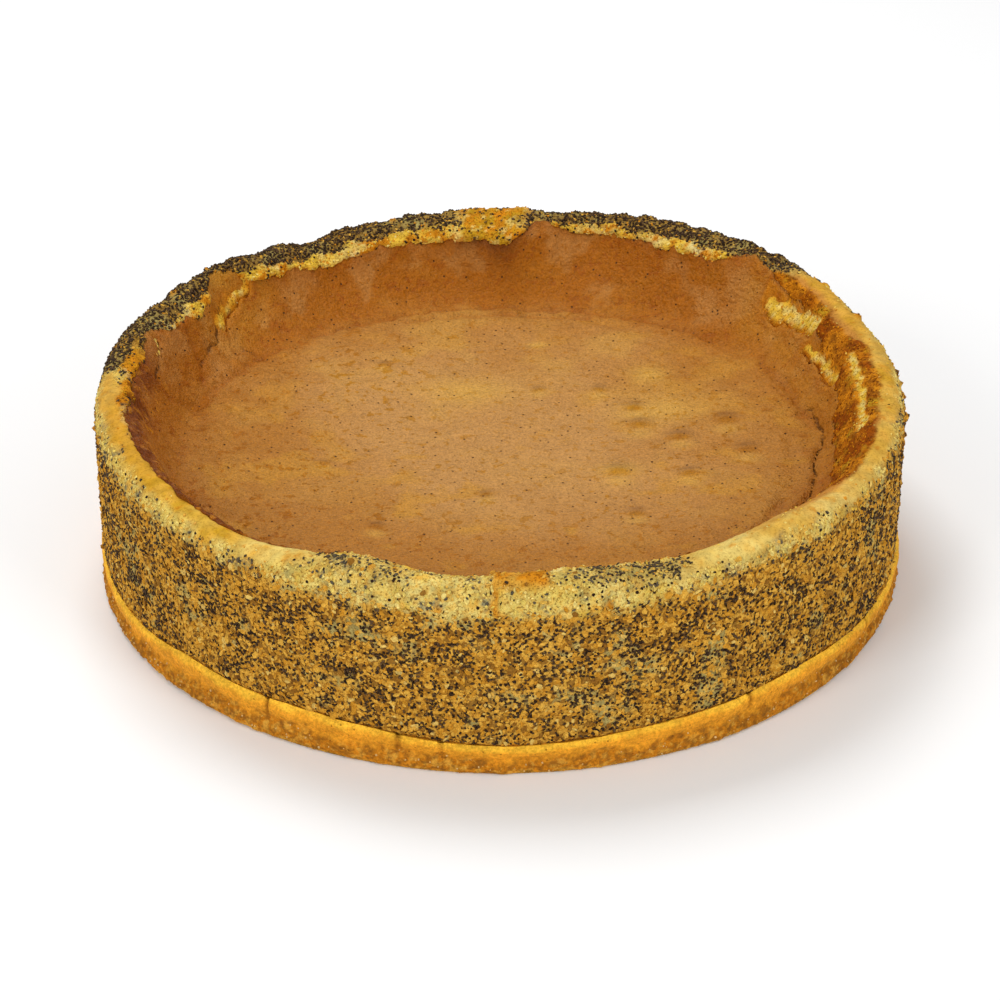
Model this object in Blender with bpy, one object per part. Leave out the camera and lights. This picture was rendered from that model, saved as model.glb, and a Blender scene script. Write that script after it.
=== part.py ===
"""A whole poppy seed cake: a dense, seed-flecked filling with a sunken top, on a shortcrust base.

Metres, +Z up. The origin is the centre of the base's underside, where the cake stands.
Azimuths are in degrees, anticlockwise from +X seen from above, and the front faces -Y (270).
A surface of either piece is a grid: each row is a ring round the cake, from the middle of the
underside, up the side and over the rim, to the middle of the top.
"""

import math
import random

import bpy
import numpy as np
from mathutils import Matrix, Vector

MM = 0.001

# Driving dimensions of the whole cake.
WALL_RADIUS = 133.0 * MM  # side of the filling
PASTRY_RADIUS = 133.9 * MM  # widest line of the shortcrust base
PASTRY_THICKNESS = 11.5 * MM  # shortcrust under the filling
RIM_HEIGHT = 65.2 * MM  # crest of the rim above the ground, before its humps
CREST_INSET = 6.5 * MM  # the crest lies this far inside the wall
SHOULDER_DROP = 7.0 * MM  # the wall turns over this far below the crest
TORN_INSET = 16.0 * MM  # the browned skin's torn edge lies this far inside the wall
TORN_DROP = 5.2 * MM  # and this far below the crest
SKIN_THICKNESS = 1.0 * MM  # the torn edge stands up by this much
FOOT_RADIUS = 104.0 * MM  # where the inner wall meets the sunken floor
FOOT_SHIFT = 7.0 * MM  # the inner wall is steeper at the front by this much
FOOT_HEIGHT = 44.0 * MM
FLOOR_HEIGHT = 41.5 * MM  # middle of the sunken floor
LAYER_GAP = 0.3 * MM  # between the filling and the pastry
JOIN_RADIUS = 118.0 * MM  # the pastry's top is flat inside this radius, and wavy outside it

# Unevenness: (azimuth, half width, change), as bell-shaped humps and dips.
RIM_HUMPS = (
    (8, 10, 1.5 * MM),
    (50, 26, 4.6 * MM),
    (122, 6, -2.4 * MM),
    (142, 8, 1.5 * MM),
    (162, 14, 1.6 * MM),
    (200, 16, 0.8 * MM),
    (232, 10, -2.9 * MM),
    (254, 7, 0.9 * MM),
    (281, 7, 1.7 * MM),
    (300, 9, -2.2 * MM),
    (333, 15, -3.2 * MM),
)
TORN_EDGE_HUMPS = (
    (32, 9, 4.0 * MM),
    (73, 8, 5.5 * MM),
    (90, 7, -6.0 * MM),
    (142, 5, 9.0 * MM),
    (194, 10, 2.0 * MM),
    (262, 12, 4.0 * MM),
    (336, 12, 3.0 * MM),
)
PASTRY_HUMPS = (
    (30, 18, -1.4 * MM),
    (105, 22, 1.2 * MM),
    (180, 16, -0.9 * MM),
    (243, 11, 1.8 * MM),
    (272, 13, -2.2 * MM),
    (314, 12, 2.0 * MM),
)
SMOOTH_RIM = ((24, 20), (176, 10), (222, 24), (316, 20))  # (azimuth, half width) of intact crust

# Fineness.
FILLING_SEGMENTS = 120
PASTRY_SEGMENTS = 96
WALL_ROWS = 7
FLOOR_RINGS = (88.0 * MM, 66.0 * MM, 42.0 * MM, 18.0 * MM)
WALL_CRUMBLE = 0.30 * MM  # how far the side's facets wander in and out
RIM_CRUMBLE = 1.35 * MM  # the same on the torn rim
SMOOTH_CRUMBLE = 0.20 * MM  # and on intact crust
PASTRY_CRUMBLE = 0.25 * MM

# Crumbs and seeds that stand out of the surface.
RIM_CRUMBS = 84
RIM_CRUMB_SIZES = (1.5 * MM, 3.0 * MM)  # radii
WALL_CRUMBS = 26
WALL_CRUMB_SIZES = (0.9 * MM, 1.4 * MM)
SEEDS = 44
SEED_RADIUS = 0.75 * MM
SEED_LENGTH = 1.3  # a seed is longer than wide by this factor


def humps(azimuth, rows):
    """The sum of bell-shaped changes at each azimuth."""
    total = np.zeros_like(azimuth)
    for centre, half_width, change in rows:
        away = (azimuth - centre + 180.0) % 360.0 - 180.0
        total += change * np.exp(-((away / half_width) ** 2))
    return total


def smoothness(azimuth):
    """1 where the rim's crust is intact and smooth, 0 where it is torn."""
    total = np.zeros_like(azimuth)
    for centre, half_width in SMOOTH_RIM:
        away = np.abs((azimuth - centre + 180.0) % 360.0 - 180.0)
        total = np.maximum(total, np.clip(1.5 - away / half_width, 0.0, 1.0))
    return total


def mix(a, b, share):
    return a + (b - a) * share


def pastry_top(azimuth):
    """Height of the pastry's wavy upper edge."""
    return PASTRY_THICKNESS + 0.4 * MM + humps(azimuth, PASTRY_HUMPS)


def floor_height(azimuth, radius):
    """The sunken floor: a shallow dish with a few slow waves."""
    share = radius / FOOT_RADIUS
    dish = mix(FLOOR_HEIGHT, FOOT_HEIGHT, share**2)
    angle = np.radians(azimuth)
    waves = 0.5 * np.sin(3 * angle + 1.0) + 0.35 * np.sin(5 * angle + 4 * share)
    return dish + waves * MM * share * (1.0 - 0.5 * share)


def filling_rows(azimuth):
    """The filling's rings as (radius, height, crumble), from under the edge to the floor's middle."""
    front = -np.sin(np.radians(azimuth))  # 1 at the front, -1 at the back
    low = pastry_top(azimuth) + LAYER_GAP
    crest = RIM_HEIGHT + humps(azimuth, RIM_HUMPS)
    shoulder = crest - SHOULDER_DROP
    wall = np.full_like(azimuth, WALL_RADIUS)
    crest_radius = wall - CREST_INSET
    torn_radius = wall - TORN_INSET + humps(azimuth, TORN_EDGE_HUMPS)
    torn = crest - TORN_DROP
    skin_radius = torn_radius - SKIN_THICKNESS
    skin = torn + 0.8 * SKIN_THICKNESS
    foot_radius = FOOT_RADIUS + FOOT_SHIFT * front
    rim_crumble = mix(RIM_CRUMBLE, SMOOTH_CRUMBLE, smoothness(azimuth))

    rows = [
        (np.full_like(azimuth, JOIN_RADIUS), np.full_like(azimuth, PASTRY_THICKNESS) + LAYER_GAP, 0.0),
        (wall - 0.7 * MM, low, 0.0),
    ]
    for step in range(WALL_ROWS):
        share = (step + 0.25) / WALL_ROWS
        rows.append((wall, mix(low, shoulder, share), WALL_CRUMBLE))
    for angle in (0.0, 30.0, 62.0, 90.0):  # the turn from the wall to the crest
        out = math.cos(math.radians(angle))
        up = math.sin(math.radians(angle))
        crumble = mix(WALL_CRUMBLE, rim_crumble, up)
        rows.append((mix(crest_radius, wall, out), mix(shoulder, crest, up), crumble))
    for share, rough in ((0.33, 1.0), (0.68, 1.0), (1.0, 0.3)):  # the torn slope inside the crest
        height = mix(crest, torn, share**1.3)
        rows.append((mix(crest_radius, torn_radius, share), height, rough * rim_crumble))
    rows.append((skin_radius, skin, 0.3 * rim_crumble))
    for share in (0.18, 0.42, 0.70, 1.0):  # the inner wall, steep and then levelling out
        height = mix(floor_height(azimuth, foot_radius), skin, (1.0 - share) ** 1.7)
        rows.append((mix(skin_radius, foot_radius, share), height, SMOOTH_CRUMBLE))
    for radius in FLOOR_RINGS:
        ring = np.full_like(azimuth, radius)
        rows.append((ring, floor_height(azimuth, ring), SMOOTH_CRUMBLE * (radius / FOOT_RADIUS) ** 3))
    return rows


def pastry_rows(azimuth):
    """The pastry's rings: a flat underside, a rough lower half, a groove and a soft upper ledge."""
    top = pastry_top(azimuth)
    ring = np.full_like(azimuth, 1.0)
    return [
        (ring * (PASTRY_RADIUS - 2.2 * MM), ring * 0.0, 0.0),
        (ring * (PASTRY_RADIUS - 0.7 * MM), ring * 0.25 * MM, 0.0),
        (ring * PASTRY_RADIUS, ring * 1.5 * MM, PASTRY_CRUMBLE),
        (ring * PASTRY_RADIUS, 0.36 * top, PASTRY_CRUMBLE),
        (ring * (PASTRY_RADIUS - 0.8 * MM), 0.52 * top, PASTRY_CRUMBLE),
        (ring * (PASTRY_RADIUS + 0.3 * MM), 0.72 * top, 0.5 * PASTRY_CRUMBLE),
        (ring * (PASTRY_RADIUS + 0.1 * MM), top - 1.0 * MM, 0.5 * PASTRY_CRUMBLE),
        (ring * (WALL_RADIUS - 0.4 * MM), top, 0.0),
        (ring * JOIN_RADIUS, ring * PASTRY_THICKNESS, 0.0),
    ]


def ring_grid(rows, segments, seed):
    """Points of shape (rows, segments, 3), each ring's points wandering by its crumble."""
    azimuth = np.arange(segments) * 360.0 / segments
    angle = np.radians(azimuth)
    draw = np.random.default_rng(seed)
    grid = np.empty((len(rows), segments, 3))
    for index, (radius, height, crumble) in enumerate(rows):
        out = radius + crumble * draw.uniform(-1.0, 1.0, segments)
        up = height + crumble * draw.uniform(-0.6, 0.6, segments)
        grid[index, :, 0] = out * np.cos(angle)
        grid[index, :, 1] = out * np.sin(angle)
        grid[index, :, 2] = up
    return grid


def closed_mesh(name, grid, bottom_height, top_height):
    """A mesh that joins the grid's rings and closes it on the axis, below and above."""
    rings, segments = grid.shape[:2]
    points = [tuple(point) for point in grid.reshape(-1, 3)]
    bottom = len(points)
    points.append((0.0, 0.0, bottom_height))
    points.append((0.0, 0.0, top_height))
    faces = []
    for j in range(segments):
        after = (j + 1) % segments
        faces.append((bottom, after, j))
        for i in range(rings - 1):
            low = i * segments
            high = low + segments
            faces.append((low + j, low + after, high + after, high + j))
        last = (rings - 1) * segments
        faces.append((last + j, last + after, bottom + 1))
    mesh = bpy.data.meshes.new(name)
    mesh.from_pydata(points, [], faces)
    mesh.update()
    return mesh


def material(name, color, roughness):
    """A Principled material of one colour."""
    made = bpy.data.materials.new(name)
    made.use_nodes = True
    shader = made.node_tree.nodes["Principled BSDF"]
    shader.inputs["Base Color"].default_value = (*color, 1.0)
    shader.inputs["Roughness"].default_value = roughness
    shader.inputs["Metallic"].default_value = 0.0
    made.diffuse_color = (*color, 1.0)
    return made


def add_object(name, mesh, look, collection):
    obj = bpy.data.objects.new(name, mesh)
    mesh.materials.append(look)
    collection.objects.link(obj)
    return obj


def surface_at(grid, turn, row):
    """The point and outward normal of the grid at a share of the turn and a fractional row."""
    segments = grid.shape[1]
    j = turn * segments
    left = int(j) % segments
    right = (left + 1) % segments
    low = int(row)
    across = j - int(j)
    up = row - low
    lower = mix(grid[low, left], grid[low, right], across)
    upper = mix(grid[low + 1, left], grid[low + 1, right], across)
    along = mix(grid[low, right] - grid[low, left], grid[low + 1, right] - grid[low + 1, left], up)
    normal = Vector(np.cross(along, upper - lower)).normalized()
    return Vector(mix(lower, upper, up)), normal


def even_spots(count, first_row, last_row, start):
    """Spots spread evenly over a band of rows, by a plane-filling sequence."""
    for index in range(count):
        turn = (start + index * 0.7548776662) % 1.0
        share = (start + index * 0.5698402910) % 1.0
        yield turn, mix(first_row, last_row, share)


def add_bit(name, centre, normal, radii, draw, look, collection):
    """A rough lump of twenty faces, turned at random about the surface's normal."""
    bpy.ops.mesh.primitive_ico_sphere_add(subdivisions=1, radius=1.0)
    bit = bpy.context.object
    turn = Matrix.Rotation(draw.uniform(0.0, math.tau), 3, "Z")
    face = normal.to_track_quat("Z", "Y").to_matrix()
    for vertex in bit.data.vertices:
        rough = draw.uniform(0.85, 1.15)
        size = Vector([radii[k] * rough * vertex.co[k] for k in range(3)])
        vertex.co = face @ (turn @ size) + centre
    bit.name = name
    bit.data.materials.append(look)
    for home in list(bit.users_collection):
        home.objects.unlink(bit)
    collection.objects.link(bit)


def scatter_bits(grid, look, collection):
    """Crumbs on the torn rim and the side, and the largest seeds, each sunk by a third."""
    draw = random.Random(7)
    crest = 2 + WALL_ROWS + 3  # row of the rim's crest
    torn = crest + 3
    bands = (
        ("rim_crumb", RIM_CRUMBS, crest - 1.2, torn - 0.1, RIM_CRUMB_SIZES, 0.13),
        ("wall_crumb", WALL_CRUMBS, 3.0, crest - 2.0, WALL_CRUMB_SIZES, 0.57),
    )
    for name, count, low, high, sizes, start in bands:
        for index, (turn, row) in enumerate(even_spots(count, low, high, start)):
            if name == "rim_crumb" and smoothness(np.array([turn * 360.0]))[0] > 0.5:
                continue
            size = draw.uniform(*sizes)
            point, normal = surface_at(grid, turn, row)
            radii = (size, size * draw.uniform(0.7, 1.0), size * 0.8)
            add_bit(f"{name}_{index}", point + normal * size * 0.25, normal, radii, draw, look, collection)
    for index, (turn, row) in enumerate(even_spots(SEEDS, 2.6, crest - 2.5, 0.31)):
        point, normal = surface_at(grid, turn, row)
        radii = (SEED_RADIUS * SEED_LENGTH, SEED_RADIUS, SEED_RADIUS)
        add_bit(f"seed_{index}", point + normal * SEED_RADIUS * 0.3, normal, radii, draw, look, collection)


def fuse(obj, collection):
    """Joins every object of the collection to obj and removes them."""
    union = obj.modifiers.new("fuse", "BOOLEAN")
    union.operation = "UNION"
    union.operand_type = "COLLECTION"
    union.collection = collection
    union.solver = "EXACT"
    bpy.context.view_layer.update()
    graph = bpy.context.evaluated_depsgraph_get()
    fused = bpy.data.meshes.new_from_object(obj.evaluated_get(graph))
    obj.modifiers.remove(union)
    obj.data = fused
    for bit in list(collection.objects):
        bpy.data.objects.remove(bit)
    bpy.data.collections.remove(collection)


def add_filling(look, collection):
    """The baked filling, its crumbs and largest seeds fused to it."""
    azimuth = np.arange(FILLING_SEGMENTS) * 360.0 / FILLING_SEGMENTS
    grid = ring_grid(filling_rows(azimuth), FILLING_SEGMENTS, seed=11)
    mesh = closed_mesh("poppy_filling", grid, PASTRY_THICKNESS + LAYER_GAP, FLOOR_HEIGHT)
    filling = add_object("poppy_filling", mesh, look, collection)
    bits = bpy.data.collections.new("bits")
    collection.children.link(bits)
    scatter_bits(grid, look, bits)
    fuse(filling, bits)
    filling.data.shade_smooth()
    filling.data.set_sharp_from_angle(angle=math.radians(40.0))


def add_pastry(look, collection):
    """The shortcrust base, which runs under the whole filling."""
    azimuth = np.arange(PASTRY_SEGMENTS) * 360.0 / PASTRY_SEGMENTS
    grid = ring_grid(pastry_rows(azimuth), PASTRY_SEGMENTS, seed=23)
    mesh = closed_mesh("pastry_base", grid, 0.0, PASTRY_THICKNESS)
    pastry = add_object("pastry_base", mesh, look, collection)
    pastry.data.shade_smooth()
    pastry.data.set_sharp_from_angle(angle=math.radians(40.0))


def main():
    for obj in list(bpy.data.objects):
        bpy.data.objects.remove(obj)
    collection = bpy.context.scene.collection
    add_pastry(material("baked_pastry", (0.50, 0.20, 0.03), 0.75), collection)
    add_filling(material("baked_filling", (0.42, 0.20, 0.05), 0.85), collection)


main()
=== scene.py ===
"""The looks of the poppy seed cake: baked crumb, browned skin, seeds, crumbs and shortcrust.

Metres, in the frame of the CAD: the origin is the middle of the cake's underside, +Z is up, and the
front faces -Y. Azimuths are in degrees, anticlockwise from +X seen from above.
"""

import itertools
import math

import bpy
import numpy as np
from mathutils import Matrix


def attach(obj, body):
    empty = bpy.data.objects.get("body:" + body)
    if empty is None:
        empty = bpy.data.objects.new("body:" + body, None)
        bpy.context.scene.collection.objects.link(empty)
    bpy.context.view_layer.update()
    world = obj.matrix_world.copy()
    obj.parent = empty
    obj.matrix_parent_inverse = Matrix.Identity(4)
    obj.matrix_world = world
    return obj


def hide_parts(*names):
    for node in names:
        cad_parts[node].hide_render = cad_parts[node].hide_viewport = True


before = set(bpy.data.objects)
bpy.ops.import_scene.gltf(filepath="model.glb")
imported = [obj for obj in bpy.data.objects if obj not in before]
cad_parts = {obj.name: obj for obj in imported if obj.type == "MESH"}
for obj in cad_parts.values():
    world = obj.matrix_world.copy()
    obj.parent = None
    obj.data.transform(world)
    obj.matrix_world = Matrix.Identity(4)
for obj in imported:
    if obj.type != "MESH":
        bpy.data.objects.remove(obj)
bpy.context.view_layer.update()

MM = 0.001

# The cake's shape, as in the CAD.
WALL_RADIUS = 133.0 * MM
PASTRY_RADIUS = 133.9 * MM
PASTRY_THICKNESS = 11.5 * MM
RIM_HEIGHT = 65.2 * MM
CREST_INSET = 6.5 * MM
SHOULDER_DROP = 7.0 * MM
TORN_INSET = 16.0 * MM
TORN_DROP = 5.2 * MM
CREST_CURVE = 1.9
FOOT_RADIUS = 104.0 * MM
FOOT_SHIFT = 7.0 * MM
FOOT_HEIGHT = 44.0 * MM
FLOOR_HEIGHT = 41.5 * MM
LAYER_GAP = 0.3 * MM
JOIN_RADIUS = 118.0 * MM
# How far below the top the underside of the skin and the crumb under it lie.
SKIN_DEPTH = 2.2 * MM
CRUMB_DEPTH = 2.5 * MM

# Unevenness: (azimuth, half width, change in mm), as bell-shaped humps and dips.
RIM_HUMPS = (
    (36, 10, 1.2), (92, 30, 1.2), (52, 26, 4.2), (122, 6, -2.4), (142, 8, 1.5), (162, 14, 1.6),
    (200, 16, 0.8), (232, 10, -2.9), (251, 5, 2.2), (271, 9, -0.8), (292, 7, -2.0), (303, 8, -1.2),
    (333, 15, -3.2),
)
TORN_EDGE_HUMPS = (
    (32, 9, 4.0), (73, 8, 5.5), (90, 7, -6.0), (142, 6, 6.0), (186, 9, 1.5), (220, 18, 2.5),
    (262, 12, 4.0), (336, 12, 3.0),
)
PASTRY_HUMPS = (
    (30, 18, -1.4), (105, 22, 1.2), (180, 16, -0.9), (224, 9, 2.6), (243, 11, 1.8), (272, 13, -2.2),
    (314, 12, 2.0),
)
# Where flaps of the skin reach out over the torn rim.
FLAPS = (
    (83, 3.5, 5.0), (143, 4, 4.0), (166, 5, 6.0), (43, 5, 5.0), (177, 6, 4.0), (196, 10, 5.5),
    (220, 19, 6.6),
)
# The lower edge of the pale crumb on the outer wall.
PALE_EDGE = 58.0 * MM
PALE_HUMPS = ((262, 24, -3.6), (289, 13, -2.4), (312, 20, -1.0), (20, 40, 1.5), (138, 40, -6.0))
# How far down the inner wall the skin is missing: (azimuth, half width, share of that wall).
BARE_HUMPS = ((347, 26, 0.52),)

# Places round the rim: (azimuth, half width).
SMOOTH_CRUST = ((214, 32), (346.5, 49.5))
SEEDY_RIM = ((61, 24), (138, 40))
CRUMBLED_RIM = ((185, 15),)
GOLDEN_PATCH = ((91, 6.5),)
# Thinner seeds on the crest: (azimuth, half width, share).
SEEDY_SPOTS = ((250, 8, 0.25), (289, 8, 0.60))
# Rough, burnt crust beside the skin: (azimuth, half width, level where it starts).
BURNT_CRUST = ((22, 18, 2.40), (351, 24, 2.10))
# Where the skin's torn edge is scorched.
SCORCHED_EDGE = ((205, 33),)
# Orange crust that has run down from the crest: (azimuth, half width, how far down in mm).
DRIPS = ((269.6, 0.55, 9.0), (273.4, 4.0, 1.3))
# Clods of toasted crumb that stand out: (azimuth, radius, height, size), all but azimuth in mm.
CLODS = (
    (20, 130.5, 66.0, 1.7), (11, 132.0, 64.5, 1.5), (356, 133.2, 55.0, 1.8), (354, 132.8, 51.5, 1.3),
    (185, 133.2, 52.0, 1.0), (250, 128.0, 67.5, 1.7), (253, 129.0, 66.5, 1.2), (270.3, 133.0, 56.5, 1.5),
    (100, 128.0, 68.5, 1.6), (72, 128.0, 71.0, 1.8), (118, 128.5, 66.5, 1.4), (152, 128.0, 67.0, 1.7),
    (131, 127.0, 67.0, 1.6), (240, 131.5, 60.0, 1.2), (296, 132.6, 59.0, 1.2), (262, 133.0, 57.5, 1.4),
    (161, 128.0, 67.5, 1.4), (143, 129.0, 67.0, 1.5), (108, 126.0, 67.0, 1.4), (62, 127.0, 70.5, 1.5),
    (247, 132.0, 59.0, 1.5), (255, 132.9, 54.0, 1.3), (284, 133.0, 57.5, 1.3), (278, 128.0, 66.0, 1.3),
    (2, 133.0, 61.0, 0.9), (352, 133.0, 59.5, 1.0), (345, 133.0, 60.0, 0.9), (30, 131.0, 66.0, 1.2),
)
# Torn holes in the skin: half width in mm, and the line it lies along, as (azimuth, radius in mm).
SKIN_HOLES = (
    (2.1, ((36.5, 116.4), (31, 117.4), (27, 118), (23.5, 118.2))),
    (1.6, ((22, 113.6), (17, 113.4), (9, 114))),
    (1.8, ((9.5, 119.6), (356, 119.6), (347, 119.4))),
    (1.2, ((138.5, 120), (141.5, 119.6), (144, 118), (149, 114.5))),
)
# Cracks in the skin, each a line of (azimuth, radius in mm).
SKIN_CRACKS = (
    ((9, 106), (2, 106.5), (357, 107.5), (350, 105), (345, 106), (338, 107.5)),
    ((338, 107.5), (332, 106.5), (325, 108), (318, 108.5), (311, 111)),
    ((149.5, 114), (151.6, 112), (155.2, 111), (159.5, 110)),
    ((165, 121), (168.4, 117.5), (174, 116)),
)
# Soft folds where the floor meets the inner wall, as lines in the same way.
SKIN_FOLDS = (
    ((133, 98), (118, 95), (104, 95), (90, 96), (74, 97), (58, 99), (42, 101)),
    ((112, 90), (98, 89), (84, 90), (70, 93)),
    ((170, 104), (160, 102), (150, 100), (141, 99)),
    ((30, 104), (16, 104), (6, 103)),
    ((157, 119), (159, 112), (163, 106)),
    ((150, 107), (145, 101), (141, 99)),
    ((173, 113), (171, 106), (166, 101)),
    ((196, 112), (203, 108), (212, 108), (222, 107)),
    ((318, 103), (326, 102), (334, 101)),
)
# Painted highlights on the floor, as lighter spots: (azimuth, radius, half width, half depth), in mm.
PAINTED_HIGHLIGHTS = ((79, 69, 3.5, 2), (20, 58, 15, 9), (42, 69, 7, 6), (332, 44, 7, 4), (107, 36, 16, 9))
# Small brown blisters on the floor: (azimuth, radius, half width, height), in mm.
BLISTERS = (
    (27, 51, 4.0, 1.0), (13, 48, 4.5, 1.0), (1, 60, 4.0, 1.1), (9, 77, 4.5, 0.9), (332, 44, 4.5, 1.1),
    (339, 66, 3.5, 0.8), (46, 49, 3.0, 0.7), (263, 37, 3.0, 0.6), (354, 82, 4.0, 0.7), (312, 65, 3.5, 0.6),
    (70, 38, 2.5, 0.5), (128, 66, 2.5, 0.5), (236, 70, 3.0, 0.6), (196, 60, 2.5, 0.5),
)
# Short upright cracks in the pastry's edge.
PASTRY_CRACKS = (62, 118, 171, 237.7, 256.6, 262.4, 305, 331)

# A distance in mm that is beyond everything.
FAR = 1000.0
# Marks on the skin are longer sideways.
STRETCH = np.array([0.8, 1.0, 1.0])

# Fineness of the meshes.
SEGMENTS = 960
WALL_ROWS = 44
TURN_ROWS = 10
SLOPE_ROWS = 16
BARE_ROWS = 16
PASTRY_ROWS = 56
SKIN_STEP = 0.85 * MM

# How many small pieces there are of each kind.
POPPY_SEEDS = 19800
GOLDEN_FLAKES = 16200
PALE_CRUMBS = 6200
SUGAR_GRAINS = 260

# How far each kind of crumb stands out, in mm: its coarse, middling and small lumps, and all of it.
CRUMB_RELIEF = {
    "wall": (0.00, 0.55, 0.40, -0.5),
    "pale": (0.45, 0.50, 0.40, -0.6),
    "seedy": (1.40, 0.55, 0.30, -0.8),
    "lip": (0.90, 0.80, 0.50, 0.3),
    "golden": (1.00, 0.60, 0.30, 0.3),
    "burnt": (0.60, 0.50, 0.40, 0.0),
    "torn": (0.40, 0.45, 0.30, -0.7),
    "drip": (0.00, 0.70, 0.40, 0.9),
    "smooth": (0.00, 0.20, 0.20, 0.0),
}
# The pastry's outline, from below: mm beyond its radius, share of its height, roughness.
PASTRY_OUTLINE = (
    (-2.2, 0.00, 0.0), (-0.8, 0.01, 0.3), (0.0, 0.05, 0.6), (0.0, 0.12, 1.0), (0.0, 0.34, 1.0),
    (-0.7, 0.46, 0.9), (-0.5, 0.54, 0.5), (0.3, 0.68, 0.2), (0.6, 0.82, 0.2), (0.2, 0.95, 0.2),
    (-0.8, 1.04, 0.2), (-2.6, 0.98, 0.2),
)

# The camera, as fitted to the photo. Its distance is from the middle of the cake's foot.
CAMERA_DISTANCE = 1.021
CAMERA_RISE = math.radians(30.97)
CAMERA_PITCH = math.radians(30.08)
FOCAL_LENGTH = 108.0
SENSOR_WIDTH = 36.0
# Lamps: (name, place, size, watts).
LAMPS = (
    ("top_box", (-0.25, 0.55, 1.2), 0.6, 8.6),
    ("front_left", (-0.95, -1.15, 0.95), 0.6, 9.0),
    ("front_right", (1.0, -1.1, 0.85), 0.6, 8.0),
)
SKY_STRENGTH = 0.46
FLOOR_SIZE = 6.0

# As linear RGB: browned marks multiply the skin's colour by the first, and the painted shade on the far
# side of each blister by the second.
FLECK = (0.82, 0.66, 0.05)
BLISTER_SHADE = (0.64, 0.62, 0.70)
# Colours, as sRGB.
PALETTE = {
    "gold": (222, 170, 68),
    "amber": (200, 140, 42),
    "brown": (124, 82, 32),
    "olive": (172, 156, 92),
    "khaki": (147, 113, 52),
    "slate": (118, 116, 98),
    "pale": (232, 208, 122),
    "cream": (224, 204, 134),
    "lemon": (228, 186, 62),
    "honey": (190, 144, 30),
    "orange": (208, 132, 22),
    "umber": (112, 56, 8),
    "straw": (224, 196, 98),
    "crust": (200, 152, 34),
    "tawny": (190, 130, 56),
    "butter": (214, 163, 72),
    "tan": (194, 140, 76),
    "caramel": (176, 114, 40),
    "toffee": (162, 90, 0),
    "rust": (150, 74, 2),
    "scorch": (104, 43, 0),
    "seed": (46, 31, 24),
    "cocoa": (100, 74, 48),
    "pastry": (236, 160, 42),
    "pastry_top": (254, 194, 58),
    "pastry_low": (198, 124, 26),
    "sugar": (222, 190, 130),
}


def linear(name):
    """A palette colour as linear RGB."""
    share = np.array(PALETTE[name]) / 255.0
    return np.where(share <= 0.04045, share / 12.92, ((share + 0.055) / 1.055) ** 2.4)


def mix(a, b, share):
    return a + (b - a) * share


def blend(a, b, share):
    """Mixes two linear colours, or arrays or palette names of them, by an array of shares."""
    a, b = (linear(color) if isinstance(color, str) else color for color in (a, b))
    return mix(a, b, np.clip(share, 0.0, 1.0)[..., None])


def coats(color, *layers):
    """Lays palette colours over a first one, each as (name, share)."""
    for name, share in layers:
        color = blend(color, name, share)
    return color


def smoothstep(value, low, high):
    share = np.clip((value - low) / (high - low), 0.0, 1.0)
    return share * share * (3.0 - 2.0 * share)


def bell(value, width):
    """1 where the value is 0, fading over the width on both sides."""
    return np.exp(-((value / width) ** 2))


# --- noise ---


def lattice(cell, seed):
    """A repeatable number from 0 to 1 for each whole-numbered cell."""
    x, y, z = (cell[..., axis].astype(np.int64).astype(np.uint32) for axis in range(3))
    mixed = x * np.uint32(0x8DA6B343) ^ y * np.uint32(0xD8163841) ^ z * np.uint32(0xCB1AB31F)
    mixed ^= np.uint32(seed * 0x9E3779B1 & 0xFFFFFFFF)
    mixed = (mixed ^ (mixed >> np.uint32(15))) * np.uint32(0x2C1B3C6D)
    mixed = (mixed ^ (mixed >> np.uint32(12))) * np.uint32(0x297A2D39)
    return (mixed ^ (mixed >> np.uint32(15))) / 2.0**32


def noise(points, size, seed):
    """Smooth noise from -1 to 1, with features about size mm apart."""
    place = points / (size * MM)
    low = np.floor(place)
    share = place - low
    share = share * share * (3.0 - 2.0 * share)
    total = 0.0
    for corner in itertools.product((0, 1), repeat=3):
        weight = np.prod(np.where(corner, share, 1.0 - share), axis=-1)
        total = total + weight * lattice(low + corner, seed)
    return 2.0 * total - 1.0


def rough(points, size, seed, octaves=3):
    """Noise with finer and finer noise added."""
    total = 0.0
    for octave in range(octaves):
        total = total + noise(points, size / 2.0**octave, seed + octave) / 1.8**octave
    return total


def patches(points, size, seed, low, high):
    """Patches of rough noise: 0 where it is below low, and 1 where it is above high."""
    return smoothstep(rough(points, size, seed), low, high)


def lumps(points, size, seed):
    """Rounded lumps, 1 at the middle of each and 0 or less between them, and a number for each."""
    place = points / (size * MM)
    base = np.floor(place)
    nearest = np.full(points.shape[:-1], 9.0)
    owner = np.zeros(points.shape[:-1])
    for offset in itertools.product((-1, 0, 1), repeat=3):
        cell = base + offset
        middle = cell + np.stack([lattice(cell, seed + axis) for axis in range(3)], axis=-1)
        gap = np.linalg.norm(place - middle, axis=-1)
        closer = gap < nearest
        owner = np.where(closer, lattice(cell, seed + 5), owner)
        nearest = np.where(closer, gap, nearest)
    return 1.0 - 1.25 * nearest, owner


# --- the cake's shape ---


def turn_from(azimuth, centre):
    return (azimuth - centre + 180.0) % 360.0 - 180.0


def humps(azimuth, rows, unit=MM):
    """The sum of bell-shaped changes at each azimuth."""
    total = np.zeros_like(azimuth)
    for centre, half_width, change in rows:
        total += change * unit * bell(turn_from(azimuth, centre), half_width)
    return total


def within(azimuth, places, soft=3.0):
    """1 inside any of the places round the rim, falling to 0 over soft degrees."""
    total = np.zeros_like(azimuth)
    for centre, half_width in places:
        away = np.abs(turn_from(azimuth, centre))
        total = np.maximum(total, 1.0 - smoothstep(away, half_width - soft, half_width + soft))
    return total


def pastry_top(azimuth):
    return PASTRY_THICKNESS + 0.4 * MM + humps(azimuth, PASTRY_HUMPS)


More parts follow.
